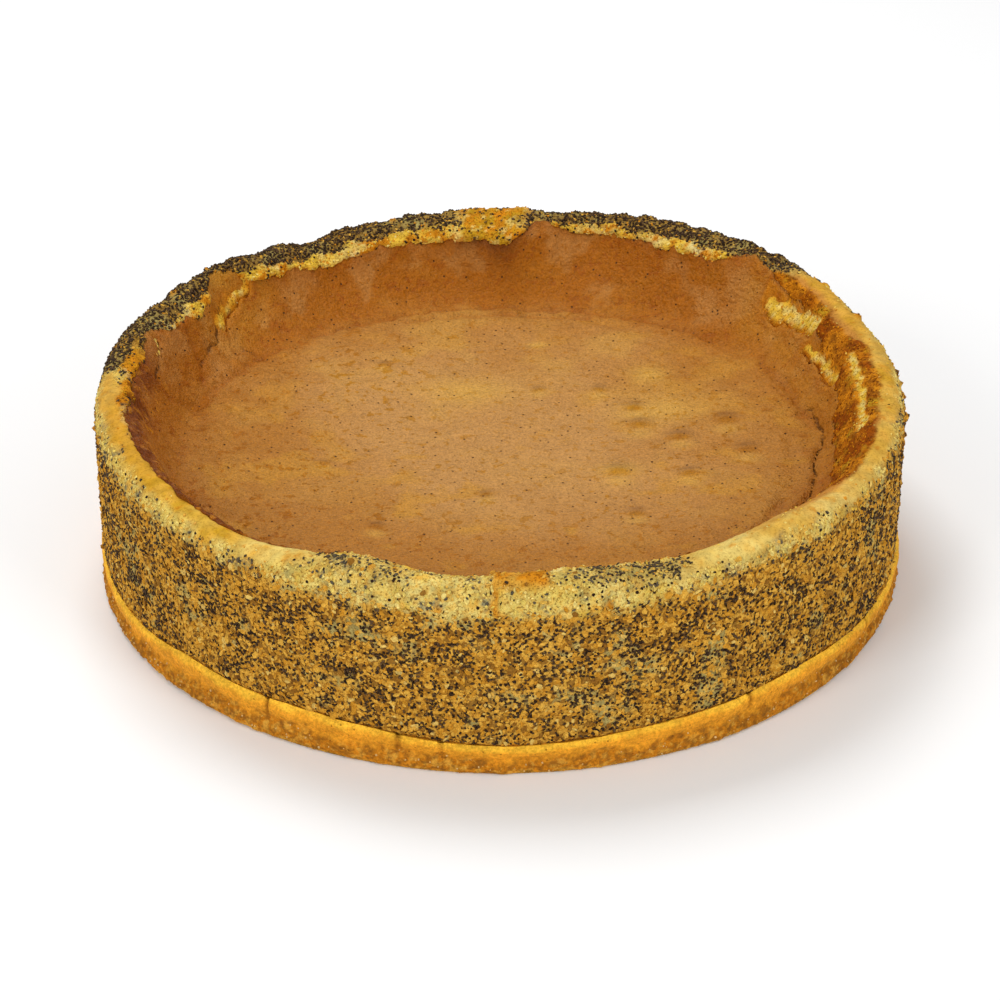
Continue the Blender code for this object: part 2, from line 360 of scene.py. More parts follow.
def floor_height(azimuth, radius):
    """The sunken floor: a shallow dish with a few slow waves."""
    share = radius / FOOT_RADIUS
    dish = mix(FLOOR_HEIGHT, FOOT_HEIGHT, share**2)
    angle = np.radians(azimuth)
    waves = 0.5 * np.sin(3 * angle + 1.0) + 0.35 * np.sin(5 * angle + 4 * share)
    return dish + waves * MM * share * (1.0 - 0.5 * share)


class Rim:
    """The heights and radii of the rim at each azimuth."""

    def __init__(self, azimuth):
        self.low = pastry_top(azimuth) + LAYER_GAP
        self.crest = RIM_HEIGHT + humps(azimuth, RIM_HUMPS)
        self.shoulder = self.crest - SHOULDER_DROP
        self.crest_radius = WALL_RADIUS - CREST_INSET + 0.0 * azimuth
        torn_radius = WALL_RADIUS - TORN_INSET + humps(azimuth, TORN_EDGE_HUMPS)
        self.torn_radius = np.minimum(torn_radius, self.crest_radius - 4.0 * MM)
        self.torn = self.crest - TORN_DROP
        self.foot_radius = FOOT_RADIUS - FOOT_SHIFT * np.sin(np.radians(azimuth))
        self.foot = floor_height(azimuth, self.foot_radius)

    def inner_wall(self, share):
        """Radius and height at a share of the way from the torn edge down to the floor."""
        radius = mix(self.torn_radius, self.foot_radius, share)
        return radius, mix(self.foot, self.torn, (1.0 - share) ** 1.7)


def top_height(azimuth, radius):
    """Height of the skin: on the floor, up the inner wall, and out over the torn rim."""
    rim = Rim(azimuth)
    share = (rim.torn_radius - radius) / (rim.torn_radius - rim.foot_radius)
    wall = rim.inner_wall(np.clip(share, 0.0, 1.0))[1]
    height = np.where(share < 1.0, wall, floor_height(azimuth, radius))
    over = np.clip((rim.crest_radius - radius) / (rim.crest_radius - rim.torn_radius), 0.0, 1.0)
    return np.where(share < 0.0, mix(rim.crest, rim.torn, over**CREST_CURVE), height)


def ring_azimuths(segments=SEGMENTS):
    return np.arange(segments) * 360.0 / segments


def polar(azimuth, radius, height):
    angle = np.radians(azimuth)
    return np.stack([radius * np.cos(angle), radius * np.sin(angle), height + 0.0 * angle], axis=-1)


def skin_edge(azimuth):
    """Radius of the skin's torn edge, with its fine tears."""
    ring = polar(azimuth, WALL_RADIUS, 0.0)
    tears = 0.9 * rough(ring, 7.0, 199) + 0.45 * rough(ring, 2.2, 211)
    edge = Rim(azimuth).inner_wall(humps(azimuth, BARE_HUMPS, 1.0))[0]
    return edge + humps(azimuth, FLAPS) + (tears - 0.3) * MM


def line_gap(points, line, sway):
    """Distance in mm, seen from above, to a line of (azimuth, radius in mm) that sways a little."""
    flat = points * (1.0, 1.0, 0.0)
    drift = [rough(flat, 4.0, 157), rough(flat, 4.0, 163)]
    flat = flat[..., :2] + sway * MM * np.stack(drift, axis=-1)
    ends = [polar(np.array(float(azimuth)), radius * MM, 0.0)[:2] for azimuth, radius in line]
    nearest = np.full(points.shape[:-1], FAR)
    for start, end in zip(ends, ends[1:]):
        along = end - start
        share = np.clip((flat - start) @ along / (along @ along), 0.0, 1.0)
        gap = np.linalg.norm(flat - start - share[..., None] * along, axis=-1) / MM
        nearest = np.minimum(nearest, gap)
    return nearest


def hole_gap(points):
    """Distance in mm to the rim of the nearest torn hole, negative inside it."""
    return np.minimum.reduce([line_gap(points, line, 0.9) - half_width for half_width, line in SKIN_HOLES])


def grid_normals(grid):
    """Outward normals of a grid of rings."""
    along = np.roll(grid, -1, axis=1) - np.roll(grid, 1, axis=1)
    up = np.gradient(grid, axis=0)
    normal = np.cross(along, up)
    return normal / np.linalg.norm(normal, axis=-1, keepdims=True)


# --- meshes ---


def make_mesh(name, points, *blocks, smooth=True):
    """A mesh from points and blocks of faces, each block an array of equal-sided faces."""
    mesh = bpy.data.meshes.new(name)
    mesh.vertices.add(len(points))
    mesh.vertices.foreach_set("co", np.asarray(points, np.float32).ravel())
    corners = np.concatenate([block.ravel() for block in blocks]).astype(np.int32)
    sides = np.concatenate([np.full(len(block), block.shape[1]) for block in blocks])
    starts = np.concatenate([[0], np.cumsum(sides)[:-1]]).astype(np.int32)
    mesh.loops.add(len(corners))
    mesh.loops.foreach_set("vertex_index", corners)
    mesh.polygons.add(len(sides))
    mesh.polygons.foreach_set("loop_start", starts)
    mesh.update(calc_edges=True)
    mesh.validate()
    if smooth:
        mesh.shade_smooth()
    else:
        mesh.shade_flat()
    return mesh


def ring_faces(rings, segments):
    """Four-sided faces between the rings of a grid."""
    j = np.arange(segments)
    after = (j + 1) % segments
    rows = np.arange(rings - 1)[:, None] * segments
    quads = [rows + j, rows + after, rows + segments + after, rows + segments + j]
    return np.stack(quads, axis=-1).reshape(-1, 4)


def fan(first, segments, middle, upwards):
    """Triangles from a ring to one point."""
    j = np.arange(segments)
    after = (j + 1) % segments
    pair = (first + j, first + after) if upwards else (first + after, first + j)
    return np.stack([*pair, np.full(segments, middle)], axis=-1)


def paint(mesh, name, values):
    """Stores a number or a colour for each point."""
    values = np.asarray(values, np.float32)
    if values.ndim == 1:
        mesh.attributes.new(name, "FLOAT", "POINT").data.foreach_set("value", values)
        return
    four = np.concatenate([values, np.ones((len(values), 1), np.float32)], axis=1)
    mesh.attributes.new(name, "FLOAT_COLOR", "POINT").data.foreach_set("color", four.ravel())


def add_object(name, data):
    made = bpy.data.objects.new(name, data)
    bpy.context.scene.collection.objects.link(made)
    return made


def add_piece(mesh, material, slot, *nodes):
    """Adds a piece that moves with the cake, and stands for the named CAD nodes."""
    piece = add_object(mesh.name, mesh)
    mesh.materials.append(material)
    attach(piece, "root")
    if nodes:
        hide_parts(*nodes)
    return piece


def add_body(name, grid, ends, material, slot, node, **marks):
    """A piece made of rings, closed by a point at each end. The ends are heights, and marks are
    what the material reads at each spot."""
    rings, segments = grid.shape[:2]
    count = rings * segments
    mesh = make_mesh(
        name,
        np.concatenate([grid.reshape(-1, 3), [(0, 0, end) for end in ends]]),
        ring_faces(rings, segments),
        fan(0, segments, count, False),
        fan(count - segments, segments, count + 1, True),
    )
    for mark, values in marks.items():
        if values.ndim == 3:
            values = values.reshape(-1, 3)
            paint(mesh, mark, np.concatenate([values, values[:2]]))
        else:
            paint(mesh, mark, np.append(values, [0.0, 0.0]))
    add_piece(mesh, material, slot, node)


# --- materials ---


class Graph:
    """A Principled material whose nodes are made by short calls, with sizes in millimetres.

    It starts from the piece's tint, and each shade, multiply, stain and bump adds to the last.
    """

    def __init__(self, name, roughness, specular):
        self.material = bpy.data.materials.new(name)
        self.material.use_nodes = True
        self.tree = self.material.node_tree
        self.shader = self.tree.nodes["Principled BSDF"]
        self.shader.inputs["Roughness"].default_value = roughness
        self.shader.inputs["Specular IOR Level"].default_value = specular
        self.shader.inputs["Specular Tint"].default_value = (1.0, 0.80, 0.52, 1.0)
        self.place = self.tree.nodes.new("ShaderNodeTexCoord").outputs["Object"]
        self.color = self.attribute("tint", "Color")
        self.normal = None

    def node(self, kind, inputs, **settings):
        made = self.tree.nodes.new(kind)
        for key, value in settings.items():
            setattr(made, key, value)
        for key, value in inputs.items():
            if isinstance(value, bpy.types.NodeSocket):
                self.tree.links.new(value, made.inputs[key])
            else:
                made.inputs[key].default_value = value
        return made

    def noise(self, size, detail=2.0, roughness=0.5):
        scale = 1.0 / (size * MM)
        inputs = {"Vector": self.place, "Scale": scale, "Detail": detail, "Roughness": roughness}
        return self.node("ShaderNodeTexNoise", inputs).outputs["Fac"]

    def step(self, value, low, high, to_low=0.0, to_high=1.0):
        inputs = {"Value": value, "From Min": low, "From Max": high, "To Min": to_low, "To Max": to_high}
        return self.node("ShaderNodeMapRange", inputs, interpolation_type="SMOOTHSTEP").outputs["Result"]

    def math(self, operation, a, b=0.0):
        return self.node("ShaderNodeMath", {0: a, 1: b}, operation=operation).outputs[0]

    def attribute(self, name, output="Fac"):
        return self.node("ShaderNodeAttribute", {}, attribute_name=name).outputs[output]

    def dots(self, size, radius, amount):
        """Round dots in a share of the cells."""
        inputs = {"Vector": self.place, "Scale": 1.0 / (size * MM)}
        cells = self.node("ShaderNodeTexVoronoi", inputs).outputs
        chance = self.node("ShaderNodeSeparateColor", {"Color": cells["Color"]}).outputs[0]
        dot = self.step(cells["Distance"], radius * 1.15, radius * 0.85)
        return self.math("MULTIPLY", dot, self.math("LESS_THAN", chance, amount))

    def mix(self, share, a, b, kind="MIX"):
        made = self.tree.nodes.new("ShaderNodeMix")
        made.data_type = "RGBA"
        made.blend_type = kind
        for socket, value in zip((made.inputs[0], made.inputs[6], made.inputs[7]), (share, a, b)):
            if isinstance(value, bpy.types.NodeSocket):
                self.tree.links.new(value, socket)
            else:
                socket.default_value = value if socket == made.inputs[0] else (*value, 1.0)
        return made.outputs[2]

    def shade(self, value, dark, light):
        """Darkens the colour where the value is low, and lightens it where it is high."""
        amount = self.step(value, 0.3, 0.7, dark, light)
        grey = self.node("ShaderNodeCombineColor", {0: amount, 1: amount, 2: amount}).outputs[0]
        self.color = self.mix(1.0, self.color, grey, "MULTIPLY")

    def multiply(self, mask, color):
        self.color = self.mix(mask, self.color, self.mix(1.0, self.color, color, "MULTIPLY"))

    def stain(self, mask, name, amount=1.0, tone=1.0):
        """Lays a palette colour over what the mask shows, darker where the tone is below 1."""
        share = self.math("MULTIPLY", mask, amount)
        self.color = self.mix(share, self.color, tuple(linear(name) * tone))

    def bump(self, height, distance, strength):
        inputs = {"Height": height, "Distance": distance * MM, "Strength": strength}
        if self.normal is not None:
            inputs["Normal"] = self.normal
        self.normal = self.node("ShaderNodeBump", inputs).outputs["Normal"]

    def finish(self, roughness=None):
        self.tree.links.new(self.color, self.shader.inputs["Base Color"])
        self.tree.links.new(self.normal, self.shader.inputs["Normal"])
        if roughness is not None:
            self.tree.links.new(roughness, self.shader.inputs["Roughness"])
        return self.material


def crumb_material():
    """Baked crumb: grainy and torn, with seeds that lie flush in it, flakes of toasted crust, and painted
    shade in the grain's hollows.
    """
    graph = Graph("baked_crumb", 0.9, 0.12)
    coarse = graph.attribute("coarse")
    grain = graph.noise(0.75, 3.0, 0.65)
    clod = graph.noise(1.7)
    flake = graph.math("MULTIPLY", graph.step(clod, 0.47, 0.55), graph.attribute("flaky"))
    graph.stain(flake, "gold", 0.75)
    # Painted shade: the low parts of the grain are darkened, most where the crumb is coarse.
    hollow_shade = graph.mix(coarse, (1.0, 1.0, 1.0), (0.46, 0.38, 0.30))
    graph.multiply(graph.step(grain, 0.50, 0.37), hollow_shade)
    graph.shade(graph.noise(3.5), 0.86, 1.12)
    seed = graph.dots(1.30, 0.40, graph.attribute("seedy"))
    graph.stain(seed, "seed")
    graph.bump(graph.math("MULTIPLY", clod, coarse), 0.9, 0.8)
    graph.bump(graph.math("MULTIPLY", grain, coarse), 0.45, 0.9)
    graph.bump(graph.noise(0.5), 0.08, 0.6)
    graph.bump(seed, 0.25, 0.9)
    return graph.finish()


def skin_material():
    """Browned skin: tan and leathery, with browned flecks, tiny dark pores and cracks."""
    graph = Graph("browned_skin", 0.45, 0.26)
    fine = graph.noise(0.8, 3.0, 0.6)
    wrinkle = graph.noise(2.2, 3.0, 0.6)
    mottle = graph.noise(5.0, 3.0, 0.6)
    graph.shade(fine, 0.83, 1.15)
    graph.shade(wrinkle, 0.95, 1.05)
    broad = graph.step(graph.noise(4.6, 3.0, 0.6), 0.595, 0.630)
    narrow = graph.step(graph.noise(2.3), 0.630, 0.665)
    fleck = graph.math("MULTIPLY", graph.math("MAXIMUM", broad, narrow), graph.attribute("flecked"))
    graph.multiply(fleck, FLECK)
    graph.shade(mottle, 0.97, 1.03)
    pore = graph.dots(3.2, 0.112, 0.7)
    graph.stain(pore, "umber", 0.95, 0.4)
    crack = graph.step(graph.attribute("crack"), 0.60, 0.15)
    graph.stain(crack, "umber", 0.8, 0.45)
    graph.bump(mottle, 0.9, 0.5)
    graph.bump(wrinkle, 1.5, 0.8)
    graph.bump(graph.dots(2.3, 0.30, 0.5), 0.22, 0.6)
    graph.bump(fine, 0.70, 0.9)
    graph.bump(graph.math("ADD", pore, crack), -0.6, 0.8)
    return graph.finish(graph.step(wrinkle, 0.3, 0.7, 0.36, 0.56))


def bit_material(name, roughness, specular, grain_size, depth):
    """Seeds and crumbs, each in its own tint."""
    graph = Graph(name, roughness, specular)
    grain = graph.noise(grain_size, 3.0, 0.6)
    graph.shade(grain, 0.72, 1.18)
    graph.bump(grain, depth, 0.8)
    return graph.finish()


def pastry_material():
    """Shortcrust: sandy, with pores and toasted grains on its lower half."""
    graph = Graph("shortcrust", 0.85, 0.15)
    low = graph.attribute("rough")
    sand = graph.noise(0.8, 3.0, 0.7)
    clod = graph.noise(1.8, 3.0, 0.6)
    graph.shade(sand, 0.76, 1.18)
    graph.shade(clod, 0.86, 1.10)
    graph.shade(graph.noise(8.0, 3.0), 0.86, 1.08)
    graph.stain(graph.math("MULTIPLY", graph.step(clod, 0.47, 0.38), low), "brown", 0.45)
    graph.stain(graph.math("MULTIPLY", graph.step(clod, 0.58, 0.66), low), "gold", 0.5)
    graph.stain(graph.dots(2.6, 0.12, 0.5), "umber", 0.6)
    graph.bump(clod, 0.7, graph.step(low, 0.0, 1.0, 0.35, 0.9))
    graph.bump(sand, 0.3, 0.8)
    return graph.finish()


# --- the crumb ---


def crumb_rows(azimuth):
    """Radius, height and level of each ring. Levels run 0-1 up the wall, 1-2 over the shoulder,
    2-3 down to the skin's torn edge, 3-4 down the inner wall, and stay at 4 under the skin."""
    rim = Rim(azimuth)
    ring = np.ones_like(azimuth)
    rows = [
        (JOIN_RADIUS * ring, (PASTRY_THICKNESS + LAYER_GAP) * ring, -1.0),
        ((WALL_RADIUS - 1.6 * MM) * ring, rim.low - 1.2 * MM, -0.5),
    ]
    for share in (np.arange(WALL_ROWS) + 0.3) / WALL_ROWS:
        rows.append((WALL_RADIUS * ring, mix(rim.low, rim.shoulder, share), share))
    for share in np.arange(TURN_ROWS) / TURN_ROWS:
        angle = share * math.pi / 2
        radius = mix(rim.crest_radius, WALL_RADIUS, math.cos(angle))
        rows.append((radius, mix(rim.shoulder, rim.crest, math.sin(angle)), 1.0 + share))
    for share in np.arange(SLOPE_ROWS) / SLOPE_ROWS:
        radius = mix(rim.crest_radius, rim.torn_radius, share)
        rows.append((radius, mix(rim.crest, rim.torn, share**CREST_CURVE), 2.0 + share))
    for share in np.arange(BARE_ROWS) / BARE_ROWS:
        radius, height = rim.inner_wall(0.85 * share)
        rows.append((radius, height, 3.0 + share))
    for share in (0.92, 1.0):
        radius, height = rim.inner_wall(share)
        rows.append((radius - 1.0 * MM, height - SKIN_DEPTH, 4.0))
    for radius in (80.0 * MM, 40.0 * MM):
        rows.append((radius * ring, floor_height(azimuth, radius * ring) - CRUMB_DEPTH, 4.0))
    return [np.stack([row[k] * ring for row in rows]) for k in range(3)]


def crumb_zones(azimuth, level, points, torn):
    """How much of each kind of surface every spot on the crumb has. The shares add up to 1."""
    rim = Rim(azimuth)
    wander = 0.28 * rough(points, 6.0, 31)
    turned = azimuth + 2.2 * rough(points, 8.0, 37)
    top = smoothstep(level + 0.8 * wander, 1.30, 1.75)
    burnt_from = 3.06 * np.ones_like(level)
    for centre, half_width, start in BURNT_CRUST:
        near = within(turned, ((centre, half_width),), 6.0)
        burnt_from = np.minimum(burnt_from, mix(3.06, start, near))
    sway = rough(points, 5.0, 45)
    drip = np.zeros_like(level)
    for centre, half_width, fall in DRIPS:
        swayed = azimuth + (0.35 + 0.3 * half_width) * sway
        near = 1.0 - smoothstep(np.abs(turn_from(swayed, centre)), 0.7 * half_width, 1.2 * half_width)
        high = smoothstep(points[..., 2] - rim.crest + fall * MM, -1.0 * MM, 1.0 * MM)
        drip = np.maximum(drip, near * high * (level + 0.8 * wander < 2.5))
    drip = drip * patches(points, 2.6, 39, -1.1, -0.6)
    grit = rough(points, 1.6, 43)
    for centre, out, up, size in CLODS:
        away = np.linalg.norm(points - polar(np.array(float(centre)), out * MM, up * MM), axis=-1)
        ragged = away + 0.35 * size * MM * grit
        drip = np.maximum(drip, 1.0 - smoothstep(ragged / (size * MM), 0.6, 1.1))
    edge = PALE_EDGE + humps(azimuth, PALE_HUMPS) + 7.0 * MM * wander
    high = smoothstep(points[..., 2], edge - 2.0 * MM, edge + 3.0 * MM)
    slanted = turned + 8.0 * np.clip(2.0 - level, 0.0, 1.0)
    in_seeds = np.maximum(within(turned, SEEDY_RIM), within(slanted, SEEDY_RIM))
    seedy = in_seeds * smoothstep(level + wander, 0.75, 1.05)
    for centre, half_width, share in SEEDY_SPOTS:
        seedy = np.maximum(seedy, share * within(turned, ((centre, half_width),)) * top)
    golden = within(turned, GOLDEN_PATCH, 2.0) * smoothstep(level, 1.5, 1.8)
    crumbled = within(turned, CRUMBLED_RIM, 5.0) * smoothstep(level + 0.5 * wander, 2.12, 2.30)
    shares = {
        "torn": torn,
        "burnt": smoothstep(level + 0.35 * wander - burnt_from, 0.0, 0.20),
        "golden": np.maximum(golden, crumbled),
        "drip": drip,
        "smooth": within(slanted, SMOOTH_CRUST) * top,
        "lip": smoothstep(level + 0.6 * wander, 2.58, 2.74),
        "seedy": seedy,
        "pale": high,
        "wall": np.ones_like(level),
    }
    rest = np.ones_like(level)
    for name, share in shares.items():
        shares[name] = share * rest
        rest = rest * (1.0 - share)
    return shares


def crumb_relief(points, zones):
    """How far the surface stands out of the plain form, in millimetres."""
    heights = [lumps(points, size, seed)[0] for size, seed in ((4.4, 53), (2.4, 47), (1.5, 41))]
    relief = 0.30 * rough(points, 15.0, 59)
    relief += 0.80 * zones["seedy"] * rough(points, 8.0, 63)
    relief += 0.25 * zones["smooth"] * rough(points, 10.0, 61)
    for name, amounts in CRUMB_RELIEF.items():
        relief += zones[name] * sum(amount * height for amount, height in zip(amounts, (*heights, 1.0)))
    return relief


def bald_patches(points):
    """Where the toasted crumbs have come off the wall and the grey-green crumb shows."""
    return patches(points, 9.0, 71, 0.28, 0.80)


def smudges(points):
    """Where seeds show as grey smudges under a thin layer of the pale crumb."""
    return patches(points, 4.5, 87, 0.20, 0.80)


def crumb_tint(points, level, zones, gap):
    """The crumb's own colour, before grain and seeds."""
    _, owner = lumps(points, 2.0, 67)
    patch = rough(points, 8.0, 75)
    spots = rough(points, 3.5, 73)
    azimuth = np.degrees(np.arctan2(points[..., 1], points[..., 0]))
    front = within(azimuth, ((284, 52),), 14.0)
    right = within(azimuth, ((0, 48),), 14.0)
    left = within(azimuth, ((190, 22),), 14.0)
    crumbled = within(azimuth, CRUMBLED_RIM, 6.0)
    near_crest = smoothstep(level, 0.80, 1.10) * (1.0 - smoothstep(level, 2.2, 2.5))
    inwards = smoothstep(level + 0.16 * rough(points, 9.0, 79), 2.0, 2.4)
    crevice = smoothstep(rough(points, 4.0, 91) + 0.8 * (level - 2.6), 0.0, 0.7)
    inside = smoothstep(-gap, 0.3, 1.3)
    tints = {
        "wall": coats("brown", ("amber", 0.50 + 0.7 * spots), ("olive", 0.9 * bald_patches(points))),
        "pale": coats(
            "pale",
            ("straw", 0.5 + 0.9 * patch),
            ("olive", 0.15 + 0.8 * spots),
            ("lemon", 0.6 * patches(points, 5.0, 81, 0.35, 0.9)),
            ("gold", 0.9 * patches(points, 3.4, 89, 0.40, 0.70)),
            ("slate", 0.80 * smudges(points) * mix(0.45, 1.0, near_crest)),
        ),
        "smooth": coats(
            "crust",
            ("pale", 0.10 + 0.4 * rough(points, 14.0, 83) + 0.6 * front),
            ("gold", 0.25 + 0.6 * spots),
            ("orange", 0.7 * patches(points * (1.0, 1.0, 0.4), 2.0, 93, 0.55, 1.0)),
            ("amber", 0.5 * left),
            ("tawny", right * mix(0.20, 1.0, inwards)),
        ),
        "golden": coats(
            "honey",
            ("orange", 0.35 + 0.9 * spots),
            ("pale", 0.5 * (owner > 0.80) * (1.0 - crumbled)),
            ("orange", 0.6 * crumbled),
            ("cream", 0.4 * crumbled * (patch > 0.5)),
            ("scorch", 0.8 * crumbled * crevice),
        ),
        "lip": coats(
            "lemon",
            ("cream", 0.25 + 0.9 * patch),
            ("orange", smoothstep(spots + 1.2 * (level - 2.8), 0.1, 0.8)),
        ),
        "burnt": coats(
            "orange",
            ("rust", 0.60 + 0.9 * patch),
            ("umber", 0.6 * (owner > 0.74)),
            ("honey", patches(points, 7.0, 85, 0.30, 0.90)),
        ),
        "torn": coats("orange", ("lemon", inside - 0.5 * spots), ("pale", 0.8 * inside * (owner > 0.55))),
        "drip": coats("gold", ("orange", 0.70 + 0.9 * spots)),
        "seedy": coats("khaki", ("olive", 0.2 + 0.8 * patch)),
    }
    return sum(zones[name][..., None] * tint for name, tint in tints.items())


class Crumb:
    """The cake's crumb: its grid, normals and zones, from which the seeds and crumbs are placed."""

    def __init__(self):
        azimuth = ring_azimuths()
        radius, height, self.level = crumb_rows(azimuth)
        azimuth = np.broadcast_to(azimuth, radius.shape)
        plain = polar(azimuth, radius, height)
        self.hole_gap = hole_gap(plain)
        hole = 1.0 - smoothstep(self.hole_gap, -0.6, 0.4)
        under = smoothstep(skin_edge(azimuth) - radius, -0.3 * MM, 0.9 * MM)
        self.covered = under * (1.0 - hole) * (self.level > 1.9)
        torn = hole * (self.level > 2.0)
        self.zones = crumb_zones(azimuth, self.level, plain, torn)
        relief = crumb_relief(plain, self.zones) * (1.0 - self.covered) - 1.3 * self.covered
        fixed = (self.level < 0.0) | (self.level >= 4.0)
        self.grid = plain + grid_normals(plain) * (np.where(fixed, 0.0, relief) * MM)[..., None]
        self.normals = grid_normals(self.grid)

    def share(self, **weights):
        """A weight for each spot on the open surface, from a weight for each zone."""
        total = sum(weight * self.zones[name] for name, weight in weights.items())
        return total * (1.0 - self.covered) * ((self.level > 0.0) & (self.level < 3.95))

    def piece(self, material):
        zones = self.zones
        clumps = 1.0 + 0.8 * rough(self.grid, 5.0, 101)
        add_body(
            "baked_crumb",
            self.grid,
            (PASTRY_THICKNESS + LAYER_GAP, FLOOR_HEIGHT - CRUMB_DEPTH),
            material,
            "filling",
            "poppy_filling",
            tint=crumb_tint(self.grid, self.level, zones, self.hole_gap),
            seedy=self.share(wall=0.42, pale=0.10, seedy=0.75, lip=0.05, golden=0.06) * clumps,
            flaky=zones["wall"] + 0.6 * zones["pale"],
            coarse=1.0 - 0.6 * zones["smooth"],
        )


# --- seeds and crumbs ---


def bead_form(sides):
    """A double cone of a few sides."""
    turns = [2.0 * math.pi * k / sides for k in range(sides)]
    points = [(math.cos(turn), math.sin(turn), 0.0) for turn in turns] + [(0, 0, 1), (0, 0, -1)]
    faces = []
    for k in range(sides):
        after = (k + 1) % sides
        faces += [(k, after, sides), (after, k, sides + 1)]
    return np.array(points, float), np.array(faces)


def crumb_form():
    """The twelve corners and twenty faces of a rough round crumb."""
    turns = [k * 0.4 * math.pi for k in range(5)]
    upper = [(0.894 * math.cos(turn), 0.894 * math.sin(turn), 0.447) for turn in turns]
    lower = [(-x, -y, -z) for x, y, z in upper]
    faces = []
    for k in range(5):
        after = (k + 1) % 5
        left, right = 6 + (k + 3) % 5, 6 + (k + 2) % 5
        faces += [(0, 1 + k, 1 + after), (1 + after, 1 + k, left)]
        faces += [(1 + k, right, left), (11, left, right)]
    return np.array([(0, 0, 1), *upper, *lower, (0, 0, -1)], float), np.array(faces)


def scatter(crumb, weight, count, spacing, seed):
    """Spots on the crumb, drawn by area and weight, no two in one cell of the given spacing."""
    draw = np.random.default_rng(seed)
    grid = crumb.grid
    right = np.roll(grid, -1, axis=1)
    area = np.linalg.norm(np.cross(right[:-1] - grid[:-1], grid[1:] - grid[:-1]), axis=-1)
    chance = (area * weight[:-1]).ravel()
    pick = draw.choice(chance.size, size=3 * count, p=chance / chance.sum())
    row, column = np.divmod(pick, grid.shape[1])
    across, up = draw.random((2, len(pick), 1))
    lower = mix(grid[row, column], right[row, column], across)
    upper = mix(grid[row + 1, column], right[row + 1, column], across)
    spots = mix(lower, upper, up)
    cells = np.floor(spots / spacing).astype(np.int64)
    _, first = np.unique(cells, axis=0, return_index=True)
    keep = np.sort(first)[:count]
    return spots[keep], crumb.normals[row[keep], column[keep]], (row[keep], column[keep])


def add_bits(name, form, spots, normals, radii, tints, material, wobble, sink, seed, smooth=False):
    """Joins one small rough form at each spot, turned at random about the surface's normal."""
    draw = np.random.default_rng(seed)
    points, faces = form
    count = len(spots)
    side = np.cross(normals, draw.normal(size=(count, 3)))
    side /= np.linalg.norm(side, axis=1, keepdims=True)
    other = np.cross(normals, side)
    shape = points[None] * (1.0 + wobble * draw.uniform(-1.0, 1.0, (count, len(points), 1)))
    shape = shape * radii[:, None, :]
    lean = draw.normal(scale=0.25, size=(2, count, 1))
    shape[..., 2] += lean[0] * shape[..., 0] + lean[1] * shape[..., 1]
    placed = shape[..., :1] * side[:, None] + shape[..., 1:2] * other[:, None]
    placed += (shape[..., 2:] + radii[:, None, 2:] * (1.0 - 2.0 * sink)) * normals[:, None]
    placed += spots[:, None]
    offset = (np.arange(count) * len(points))[:, None, None]
    every_face = (faces[None] + offset).reshape(-1, 3)
    mesh = make_mesh(name, placed.reshape(-1, 3), every_face, smooth=smooth)
    paint(mesh, "tint", np.repeat(tints, len(points), axis=0))
    return add_piece(mesh, material, "filling")


def add_seeds(crumb, material):
    """Poppy seeds, about a millimetre long, thick on the torn rim and the side."""
    clumps = np.clip(1.0 + 1.1 * rough(crumb.grid, 5.0, 101), 0.15, 2.2)
    strings = np.clip(1.0 + 1.3 * noise(crumb.grid, 2.2, 113), 0.1, 2.5)
    weight = crumb.share(wall=0.34, pale=0.018, lip=0.03, golden=0.08) * clumps * strings
    weight += crumb.share(seedy=0.80) * mix(1.0, clumps, 0.5)
    weight += crumb.share(pale=0.24) * smudges(crumb.grid)
    spots, normals, where = scatter(crumb, weight, POPPY_SEEDS, 0.78 * MM, 103)
    draw = np.random.default_rng(107)
    radii = np.array([0.64, 0.46, 0.38]) * MM * draw.uniform(0.75, 1.2, (len(spots), 1))
    speckle = 1.1 * draw.random(len(spots)) ** 1.7
    tints = coats("seed", ("cocoa", speckle), ("slate", 0.40 * crumb.zones["pale"][where]))
    form = bead_form(5)
    add_bits("poppy_seeds", form, spots, normals, radii, tints, material, 0.20, 0.34, 109, smooth=True)


def add_golden_flakes(crumb, material):
    """Toasted flakes of crust that cover much of the outer wall."""
    clumps = np.clip(1.0 - 0.9 * rough(crumb.grid, 5.0, 101), 0.25, 2.0)
    weight = crumb.share(wall=1.0, pale=0.02, drip=0.3) * clumps * (1.0 - 0.85 * bald_patches(crumb.grid))
    spots, normals, _ = scatter(crumb, weight, GOLDEN_FLAKES, 1.15 * MM, 127)
    draw = np.random.default_rng(131)
    count = len(spots)
    size = (0.50 + 0.90 * draw.random((count, 1)) ** 1.6) * MM
    size = size * np.where(draw.random((count, 1)) > 0.99, 1.5, 1.0)
    radii = size * np.array([1.0, 0.72, 0.40]) * draw.uniform(0.75, 1.25, (count, 3))
    tints = coats(
        "gold",
        ("amber", 1.3 * draw.random(count) - 0.1),
        ("brown", 0.8 * (draw.random(count) > 0.80)),
        ("pale", 0.5 * (draw.random(count) > 0.93)),
    )
    add_bits("golden_flakes", bead_form(6), spots, normals, radii, tints, material, 0.42, 0.45, 137)


